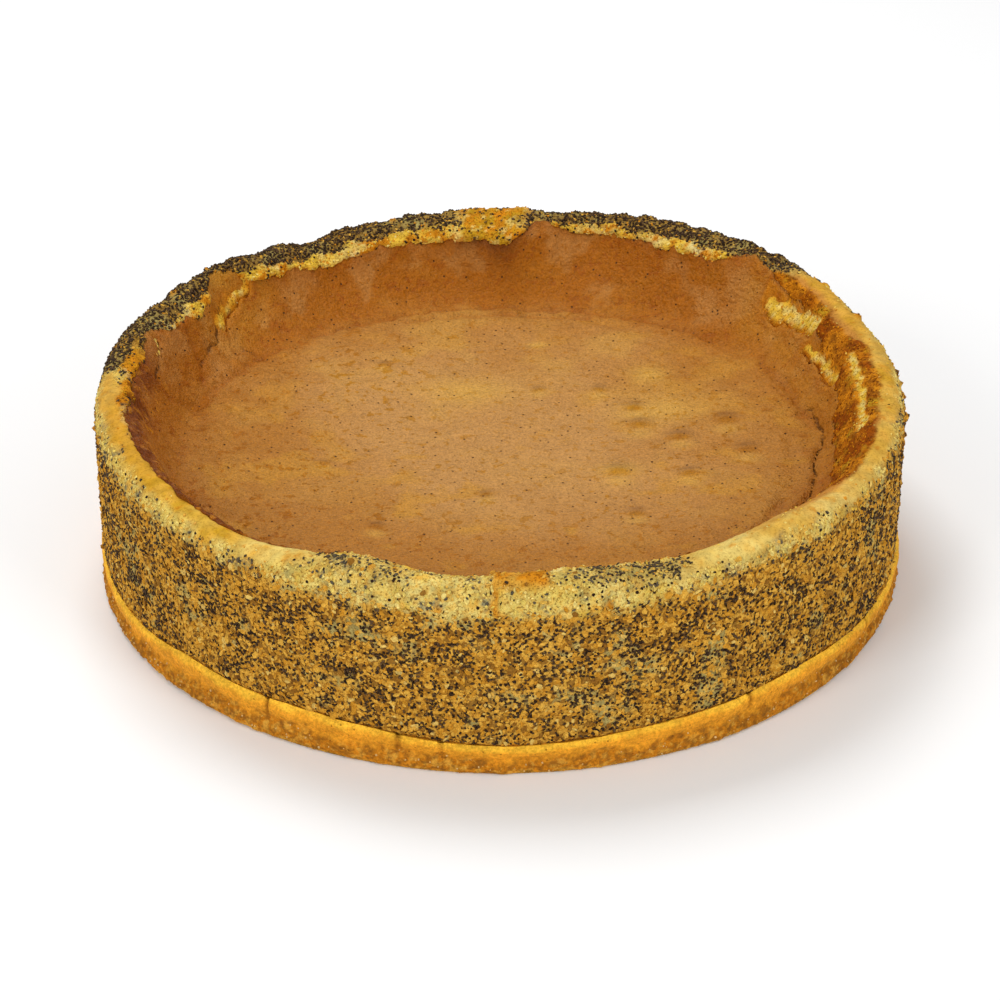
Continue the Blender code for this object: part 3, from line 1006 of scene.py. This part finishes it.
def add_pale_crumbs(crumb, material):
    """Small angular crumbs of the torn lip, the holes and the pale top of the wall."""
    zones = crumb.zones
    weight = crumb.share(pale=0.40, golden=0.35, seedy=0.26, burnt=0.5, torn=0.10, lip=0.50, smooth=0.02)
    weight += crumb.share(seedy=0.6) * smoothstep(np.abs(crumb.level - 2.0), 0.4, 0.8)
    spots, normals, where = scatter(crumb, weight, PALE_CRUMBS, 1.0 * MM, 139)
    draw = np.random.default_rng(149)
    count = len(spots)
    pale = zones["pale"][where]
    size = draw.uniform(0.30, 0.62, count) + 0.5 * pale * draw.random(count) ** 4
    radii = size[:, None] * MM * np.array([1.0, 0.8, 0.55]) * draw.uniform(0.7, 1.3, (count, 3))
    tints = coats(
        "lemon",
        ("pale", 1.4 * draw.random(count) - 0.2),
        ("orange", 0.9 * (draw.random(count) > 0.65)),
    )
    soft = coats(
        "pale",
        ("straw", 1.6 * draw.random(count) - 0.3),
        ("gold", 0.8 * (draw.random(count) > 0.86)),
    )
    rich = coats("honey", ("orange", 1.6 * draw.random(count) - 0.3))
    dull = coats(
        "khaki",
        ("gold", 2.0 * draw.random(count) - 0.3),
        ("orange", 0.8 * (draw.random(count) > 0.75)),
    )
    toasted = coats("orange", ("umber", 1.2 * draw.random(count) - 0.1))
    for zone, colors in (("pale", soft), ("golden", rich), ("seedy", dull), ("burnt", toasted)):
        tints = blend(tints, colors, zones[zone][where])
    add_bits("pale_crumbs", crumb_form(), spots, normals, radii, tints, material, 0.35, 0.50, 151)


# --- the skin ---


def spot(points, azimuth, radius, wide, deep, forwards=0.0):
    """1 at a place on the top, fading to 0 over its width and depth. All but azimuth are in mm."""
    x, y, _ = polar(azimuth, radius, 0.0)
    sideways = (points[:, 0] / MM - x) / wide
    endways = (points[:, 1] / MM - y + forwards) / deep
    return np.exp(-(sideways**2) - endways**2)


def skin_relief(points, azimuth, radius, gap, fold, hole):
    """Soft ripples, wrinkles near the foot, a lifted torn edge, holes and cracks, in millimetres."""
    rim = Rim(azimuth)
    near_foot = bell(radius - rim.foot_radius + 8 * MM, 13 * MM)
    around = np.stack([radius, np.radians(azimuth) * radius * 0.20, 0.0 * radius], axis=-1)
    back = 0.5 + 0.5 * np.sin(np.radians(azimuth))
    left = within(azimuth, ((185, 45),), 15.0)
    on_wall = smoothstep(radius, rim.foot_radius, rim.torn_radius)
    edge = (skin_edge(azimuth) - radius) / MM
    scorched = within(azimuth, SCORCHED_EDGE, 10.0) * np.exp(-edge / 5.0)
    relief = 0.70 * rough(points, 24.0, 167) + 0.32 * rough(points * STRETCH, 7.5, 173)
    relief += 0.75 * near_foot * mix(0.3, 1.0, back) * rough(around, 7.0, 179)
    relief += np.exp(-edge / 1.8) * (0.50 + 0.6 * rough(points, 5.0, 181))
    relief += (0.50 + 0.25 * left) * on_wall * rough(points, 2.6, 183)
    relief += left * near_foot * rough(points, 6.0, 189)
    relief += scorched * (1.1 * rough(points, 2.6, 187) - 0.4)
    relief += 0.35 * bell(hole - 1.4, 1.0) - 3.4 * (1.0 - smoothstep(hole, -0.5, 0.4))
    relief += 0.35 * bell(fold - 2.6, 1.6) - 0.80 * bell(fold, 1.3)
    relief += 0.30 * bell(gap - 1.6, 1.2) - 1.2 * bell(gap, 0.75)
    for centre, middle, size, high in BLISTERS:
        relief += high * spot(points, centre, middle, size, 0.8 * size)
    return relief


def fleck_share(points, azimuth, radius):
    """How strongly browned flecks show, most towards the left and the front of the floor."""
    side = 0.5 + 0.5 * np.cos(np.radians(azimuth - 215.0))
    patchy = patches(points, 18.0, 243, -0.5, 0.7)
    outer = smoothstep(radius, 20 * MM, 60 * MM)
    return mix(0.7, 1.0, side) * mix(0.7, 1.0, patchy) * mix(0.8, 1.0, outer)


def skin_tint(points, azimuth, radius, fold, hole):
    """Tan in the middle, caramel towards the foot, and toffee brown up the inner wall, with painted light
    and shade laid over it.
    """
    rim = Rim(azimuth)
    wide = points * STRETCH
    front = 0.5 - 0.5 * np.sin(np.radians(azimuth))
    outwards = smoothstep(radius + 16.0 * MM * rough(points, 40.0, 191), 30 * MM, 112 * MM)
    # Painted shade: extra caramel towards the front of the floor, away from the middle, under the front
    # rim.
    outwards = outwards + 0.28 * front * smoothstep(radius, 20 * MM, 70 * MM)
    start = rim.foot_radius - 9 * MM + 4.0 * MM * rough(points, 14.0, 195)
    climb = smoothstep(radius, start, start + 16 * MM)
    # Painted pools of light: butter-coloured patches on the floor, fewer towards the front.
    light = patches(wide, 17.0, 213, 0.05, 0.9) * (1.0 - climb)
    near_top = smoothstep(radius, mix(rim.foot_radius, rim.torn_radius, 0.3), rim.torn_radius)
    # Painted sheen: lighter tan patches up the inner wall, most near its top.
    painted_sheen = smoothstep(rough(points, 12.0, 203) + 0.5 * near_top, 0.25, 0.90) * climb
    smear = patches(wide, 12.0, 217, 0.20, 0.80) * mix(1.0, 0.4, climb)
    edge = (skin_edge(azimuth) - radius) / MM
    at_edge = np.exp(-edge / 2.2)
    scorched = within(azimuth, SCORCHED_EDGE, 10.0)
    ragged = edge - 2.5 * rough(points, 4.0, 223)
    speckled = scorched * mix(0.55, 1.0, patches(points, 2.4, 225, -0.4, 0.3))
    singed = scorched * patches(points, 2.0, 227, 0.35, 0.8) * (edge < 8.0)
    beyond = np.maximum(hole, 0.0)
    patchy = 0.7 + 0.5 * rough(points, 3.0, 207)
    flap = smoothstep(radius, 120.0 * MM, 125.0 * MM) * (1.0 - scorched)
    tint = coats(
        "tan",
        ("caramel", outwards + 0.10 * rough(points, 11.0, 193)),
        ("toffee", (0.95 - 0.35 * front) * climb),
        ("butter", 0.30 * light * (1.0 - 0.7 * front)),
        ("tan", 0.38 * painted_sheen),
        ("amber", (0.22 + 0.40 * front * (1.0 - climb)) * smear),
        ("rust", 0.7 * at_edge * (0.6 + 0.6 * rough(points, 3.0, 205))),
        # Painted shadow: umber on the skin's edge under the overhanging golden patch.
        ("umber", 1.2 * within(azimuth, GOLDEN_PATCH, 6.0) * at_edge),
        ("rust", 0.7 * scorched * (1.0 - smoothstep(ragged, 4.0, 10.0))),
        ("scorch", 0.9 * speckled * (1.0 - smoothstep(ragged, 3.0, 7.0))),
        ("orange", 0.7 * singed),
        ("amber", 0.4 * bell(beyond, 8.0)),
        ("rust", 0.8 * patchy * bell(beyond, 3.0)),
        ("orange", 0.9 * patchy * bell(beyond, 1.1)),
        ("rust", 0.35 * bell(fold, 1.2)),
        ("amber", flap * (0.55 + 0.12 * rough(points, 5.0, 209))),
        # Painted highlights: butter-coloured spots on the floor.
        *[("butter", 0.75 * spot(points, *place)) for place in PAINTED_HIGHLIGHTS],
    )
    for centre, middle, size, _ in BLISTERS:
        # Each blister gets painted shade on its far side, a browned fleck on its near side and a painted
        # highlight in front of it.
        top = spot(points, centre, middle, 0.9 * size, 0.6 * size, -0.45 * size)
        lower = spot(points, centre, middle, 0.8 * size, 0.40 * size, 0.45 * size)
        painted_glow = spot(points, centre, middle, 1.1 * size, 0.8 * size, 1.6 * size)
        tint = tint * blend(np.ones(3), np.array(BLISTER_SHADE), 0.9 * top)
        tint = tint * blend(np.ones(3), np.array(FLECK), 1.4 * lower)
        tint = blend(tint, "butter", 0.5 * painted_glow)
    return tint


def skin_rings():
    """(azimuths, radii) of the rings from the torn edge inwards, with half as many spots further in."""
    rings = []
    share_of_edge = 1.0
    segments = SEGMENTS
    while share_of_edge > 0.02:
        azimuth = ring_azimuths(segments)
        rings.append((azimuth, skin_edge(azimuth) * share_of_edge))
        coarse = SEGMENTS // segments
        share_of_edge -= SKIN_STEP * min(coarse, 3) / FOOT_RADIUS
        if coarse * share_of_edge < 0.5 and segments % 2 == 0 and coarse < 8:
            segments //= 2
    return rings


def stitch(outer, outer_start, inner_start, inner):
    """Faces, facing up, between a ring and the next one inwards, which may have half its spots."""
    j = np.arange(inner)
    after = (j + 1) % inner
    near, far = inner_start + j, inner_start + after
    if outer == inner:
        first, second = outer_start + j, outer_start + after
        triples = ((first, second, far), (first, far, near))
    else:
        first, second = outer_start + 2 * j, outer_start + 2 * j + 1
        third = outer_start + (2 * j + 2) % outer
        triples = ((first, second, near), (second, far, near), (second, third, far))
    return np.concatenate([np.stack(triple, 1) for triple in triples])


def add_skin(material):
    """The browned skin, a thin closed sheet over the inner wall and the floor."""
    rings = skin_rings()
    azimuth = np.concatenate([ring[0] for ring in rings])
    radius = np.concatenate([ring[1] for ring in rings])
    points = polar(azimuth, radius, top_height(azimuth, radius))
    gap = np.minimum.reduce([line_gap(points, line, 0.7) for line in SKIN_CRACKS])
    fold = np.minimum.reduce([line_gap(points, line, 1.5) for line in SKIN_FOLDS])
    hole = hole_gap(points)
    points[:, 2] += skin_relief(points, azimuth, radius, gap, fold, hole) * MM
    tint = skin_tint(points, azimuth, radius, fold, hole)
    sizes = [len(ring[0]) for ring in rings]
    starts = np.concatenate([[0], np.cumsum(sizes)])
    pairs = zip(sizes, starts, starts[1:], sizes[1:])
    blocks = [stitch(*pair) for pair in pairs]
    middle = len(points)
    blocks.append(fan(starts[-2], sizes[-1], middle, True))

    # The underside follows a few rings of the same shape, lower down.
    ring_azimuth, edge = rings[0]
    under = []
    for share in (1.0, 0.985, 0.97, 0.95, 0.92, 0.88, 0.8, 0.4):
        depth = 1.3 * MM if share == 1.0 else SKIN_DEPTH
        low = top_height(ring_azimuth, edge * share) - depth
        under.append(polar(ring_azimuth, edge * share, low))
    below = np.concatenate(under)
    below_start = middle + 1
    quads = ring_faces(len(under), SEGMENTS) + below_start
    blocks.append(np.concatenate([quads[:, [0, 2, 1]], quads[:, [0, 3, 2]]]))
    j = np.arange(SEGMENTS)
    after = (j + 1) % SEGMENTS
    blocks.append(np.stack([j, below_start + j, below_start + after], 1))
    blocks.append(np.stack([j, below_start + after, after], 1))
    last = below_start + (len(under) - 1) * SEGMENTS
    blocks.append(fan(last, SEGMENTS, below_start + len(below), False))
    every = np.concatenate([points, [(0, 0, FLOOR_HEIGHT)], below, [(0, 0, FLOOR_HEIGHT - SKIN_DEPTH)]])
    mesh = make_mesh("browned_skin", every, *blocks)
    spare = len(every) - len(points)
    tints = np.concatenate([tint, np.tile(linear("toffee"), (spare, 1))])
    tints[middle] = tint[-1]
    paint(mesh, "tint", tints)
    paint(mesh, "crack", np.concatenate([gap, np.full(spare, FAR)]))
    paint(mesh, "flecked", np.append(fleck_share(points, azimuth, radius), np.zeros(spare)))
    add_piece(mesh, material, "filling")


# --- the shortcrust base ---


def pastry_rows(azimuth):
    """Radius, height, roughness and share of the height of each ring of the pastry."""
    top = pastry_top(azimuth)
    ring = np.ones_like(azimuth)
    steps = np.linspace(0.0, 1.0, len(PASTRY_OUTLINE))
    fine = np.linspace(0.0, 1.0, PASTRY_ROWS)
    out, up, uneven = (np.interp(fine, steps, column) for column in zip(*PASTRY_OUTLINE))
    radius = PASTRY_RADIUS + out * MM
    rows = [(radius[k], up[k] * top, uneven[k], up[k]) for k in range(PASTRY_ROWS)]
    rows.append((JOIN_RADIUS, PASTRY_THICKNESS, 0.0, 1.0))
    return [np.stack([row[k] * ring for row in rows]) for k in range(4)]


class Pastry:
    """The shortcrust base, sandy below and smooth and puffed above."""

    def __init__(self):
        azimuth = ring_azimuths()
        radius, height, uneven, share = pastry_rows(azimuth)
        azimuth = np.broadcast_to(azimuth, radius.shape)
        plain = polar(azimuth, radius, height)
        grains, owner = lumps(plain, 1.7, 223)
        relief = uneven * (0.75 * grains + 0.45 * rough(plain, 3.0, 227))
        relief += 0.30 * rough(plain, 12.0, 229) + 0.10 * rough(plain, 2.5, 231)
        crack = np.zeros_like(radius)
        sway = 0.4 * rough(plain, 2.5, 235)
        for centre in PASTRY_CRACKS:
            away = np.radians(turn_from(azimuth, centre)) * radius / MM + sway
            crack = np.maximum(crack, bell(away, 0.55) * smoothstep(share, 0.50, 0.62))
        relief -= 0.9 * crack + 0.4
        keep = (height > 0.2 * MM) & (radius > JOIN_RADIUS)
        self.grid = plain + grid_normals(plain) * (relief * MM * keep)[..., None]
        self.grid[..., 2] = np.maximum(self.grid[..., 2], 0.0)
        self.normals = grid_normals(self.grid)
        self.level = share
        blur = 0.16 * rough(plain, 6.0, 233) + 0.08 * rough(plain, 1.6, 237)
        self.high = smoothstep(share + blur, 0.36, 0.66)
        low = 1.0 - self.high
        self.tint = coats(
            "pastry_low",
            ("pastry", self.high),
            ("brown", 0.45 * low * (owner > 0.75)),
            ("gold", 0.5 * low * (owner < 0.20)),
            # Paler gold towards the top edge: the crust's own colour, with painted highlight on its
            # rounded top.
            ("pastry_top", smoothstep(share + 0.5 * blur, 0.78, 1.0)),
            ("gold", 0.7 * smoothstep(share, 0.10, 0.03)),
            ("umber", 0.7 * crack),
        )

    def piece(self, material):
        ends = (0.0, PASTRY_THICKNESS)
        marks = {"tint": self.tint, "rough": 1.0 - self.high}
        add_body("shortcrust", self.grid, ends, material, "pastry", "pastry_base", **marks)


def add_sugar(pastry, material):
    """Pale grains of sugar and flour stuck to the pastry's lower half."""
    weight = (1.0 - pastry.high) * ((pastry.level > 0.09) & (pastry.level < 0.6))
    spots, normals, _ = scatter(pastry, weight, SUGAR_GRAINS, 1.0 * MM, 239)
    draw = np.random.default_rng(241)
    radii = draw.uniform(0.16, 0.42, (len(spots), 1)) * MM * draw.uniform(0.7, 1.2, (len(spots), 3))
    tints = coats("sugar", ("gold", 1.2 * draw.random(len(spots)) ** 2))
    piece = add_bits("sugar_grains", crumb_form(), spots, normals, radii, tints, material, 0.3, 0.4, 251)


# --- the set ---


def add_light(name, place, size, watts):
    """A soft square lamp that faces the cake."""
    lamp = bpy.data.lights.new(name, "AREA")
    lamp.size = size
    lamp.energy = watts
    holder = add_object(name, lamp)
    holder.location = place
    x, y, z = place
    holder.rotation_euler = (math.atan2(math.hypot(x, y), z), 0.0, math.atan2(x, -y))


def add_set():
    """A pale floor, soft light and the camera."""
    half = FLOOR_SIZE / 2
    corners = [(-half, -half, 0), (half, -half, 0), (half, half, 0), (-half, half, 0)]
    mesh = bpy.data.meshes.new("floor")
    mesh.from_pydata(corners, [], [(0, 1, 2, 3)])
    ground = add_object("floor", mesh)
    ground.location.z = -0.2 * MM
    paper = bpy.data.materials.new("paper")
    paper.use_nodes = True
    shader = paper.node_tree.nodes["Principled BSDF"]
    shader.inputs["Base Color"].default_value = (0.95, 0.95, 0.95, 1.0)
    shader.inputs["Roughness"].default_value = 0.9
    shader.inputs["Specular IOR Level"].default_value = 0.1
    mesh.materials.append(paper)

    scene = bpy.context.scene
    scene.world = bpy.data.worlds.new("studio")
    scene.world.use_nodes = True
    background = scene.world.node_tree.nodes["Background"]
    background.inputs["Color"].default_value = (1.0, 1.0, 1.0, 1.0)
    background.inputs["Strength"].default_value = SKY_STRENGTH
    for lamp in LAMPS:
        add_light(*lamp)

    lens = bpy.data.cameras.new("camera")
    lens.lens = FOCAL_LENGTH
    lens.sensor_width = SENSOR_WIDTH
    lens.clip_start = 0.01
    camera = add_object("camera", lens)
    across, up = CAMERA_DISTANCE * math.cos(CAMERA_RISE), CAMERA_DISTANCE * math.sin(CAMERA_RISE)
    camera.location = (0.0, -across, up)
    camera.rotation_euler = (math.pi / 2 - CAMERA_PITCH, 0.0, 0.0)
    scene.camera = camera
    scene.view_settings.view_transform = "Standard"


def main():
    add_set()
    crumb = Crumb()
    crumb.piece(crumb_material())
    add_skin(skin_material())
    pastry = Pastry()
    pastry.piece(pastry_material())
    add_sugar(pastry, bit_material("sugar", 0.5, 0.4, 0.4, 0.1))
    add_seeds(crumb, bit_material("poppy_seed", 0.6, 0.2, 0.4, 0.1))
    add_golden_flakes(crumb, bit_material("golden_flake", 0.9, 0.08, 0.6, 0.3))
    add_pale_crumbs(crumb, bit_material("pale_crumb", 0.9, 0.08, 0.6, 0.3))


main()
